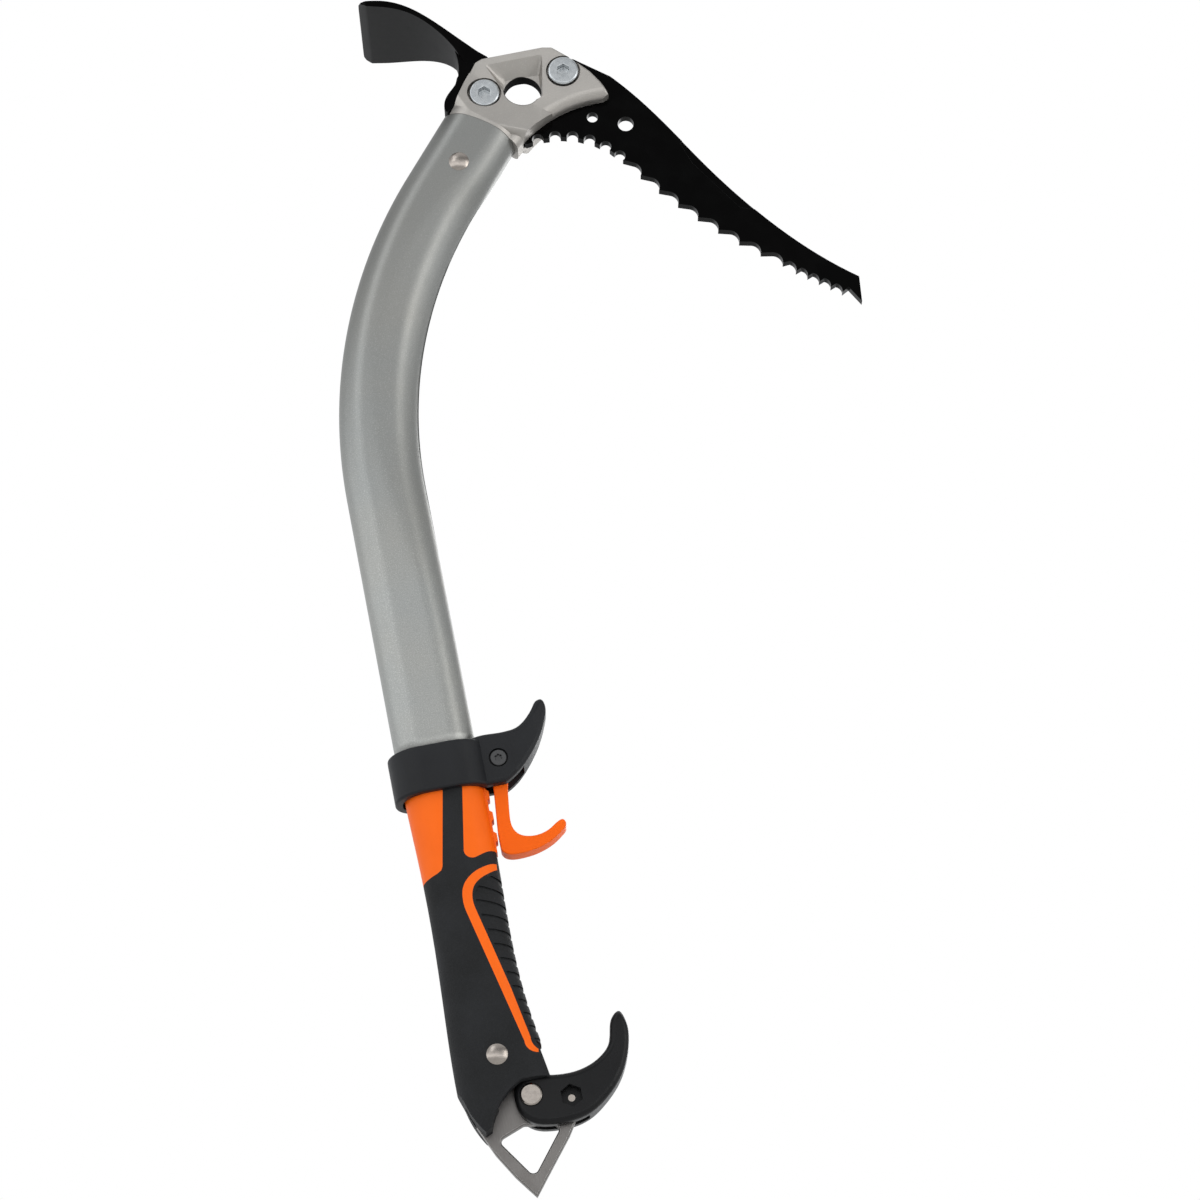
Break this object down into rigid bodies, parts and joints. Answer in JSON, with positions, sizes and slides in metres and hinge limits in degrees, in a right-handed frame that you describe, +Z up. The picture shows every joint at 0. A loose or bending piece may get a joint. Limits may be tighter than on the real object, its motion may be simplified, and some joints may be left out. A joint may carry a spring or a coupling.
{
  "type": "ice axe",
  "caption": "Bent-shaft technical ice axe with toothed pick, adze, sliding collar with release trigger, rubber grip, folding hand rest and spike.",
  "frame": {"origin": "centre of the round eye in the head, on the mid-plane of the axe", "axes": "+Z up along the upright axe, +X towards the pick, +Y through the eye, from the side with the bolt heads to the side with the nuts"},
  "size_m": [0.2184, 0.0528, 0.5087],
  "materials": {
    "head_alloy": "satin forged alloy",
    "blade_black": "gloss black coated steel",
    "shaft_alloy": "satin anodised",
    "bolt_zinc": "bright zinc plate",
    "rivet_steel": "polished",
    "sleeve_orange": "moulded orange",
    "grip_black": "matt overmould",
    "collar_black": "moulded black",
    "trigger_orange": "moulded orange",
    "rest_black": "moulded black",
    "spike_steel": "brushed stainless",
    "screw_black": "black oxide",
    "filler_plastic": "moulded grey",
    "spring_steel": "drawn wire"
  },
  "bodies": {
    "axe_body": {"head": "head_alloy", "pick": "blade_black", "adze": "blade_black", "pick_bolt": "bolt_zinc", "adze_bolt": "bolt_zinc", "pick_bolt_nut": "bolt_zinc", "adze_bolt_nut": "bolt_zinc", "shaft_tube": "shaft_alloy", "head_rivet": "rivet_steel", "spike": "spike_steel", "spike_rivet": "rivet_steel", "tang_spacer_near": "filler_plastic", "tang_spacer_far": "filler_plastic", "grip_sleeve": "sleeve_orange", "grip_rubber": "grip_black", "hand_rest_pin": "rivet_steel", "pivot_washers": "filler_plastic"},
    "collar": {"collar": "collar_black", "trigger_screw": "screw_black", "trigger_nut": "screw_black", "trigger_spring": "spring_steel"},
    "trigger": {"trigger": "trigger_orange"},
    "hand_rest": {"hand_rest": "rest_black", "stop_pin": "rivet_steel", "detent_ball": "rivet_steel", "detent_spring": "spring_steel"}
  },
  "joints": [
    {"name": "collar_slide", "type": "slide", "parent": "axe_body", "child": "collar", "axis": [-0.1908, 0, 0.9816], "range_m": [0, 0.018]},
    {"name": "trigger_pull", "type": "hinge", "parent": "collar", "child": "trigger", "pos_m": [-0.00765, 0, -0.29897], "axis": [0, -1, 0], "range_deg": [0, 10], "stiffness_Nm_per_rad": 0.15, "springref_deg": -5.73},
    {"name": "hand_rest_fold", "type": "hinge", "parent": "axe_body", "child": "hand_rest", "pos_m": [0.00623, 0, -0.43696], "axis": [0, -1, 0], "range_deg": [0, 45]}
  ]
}
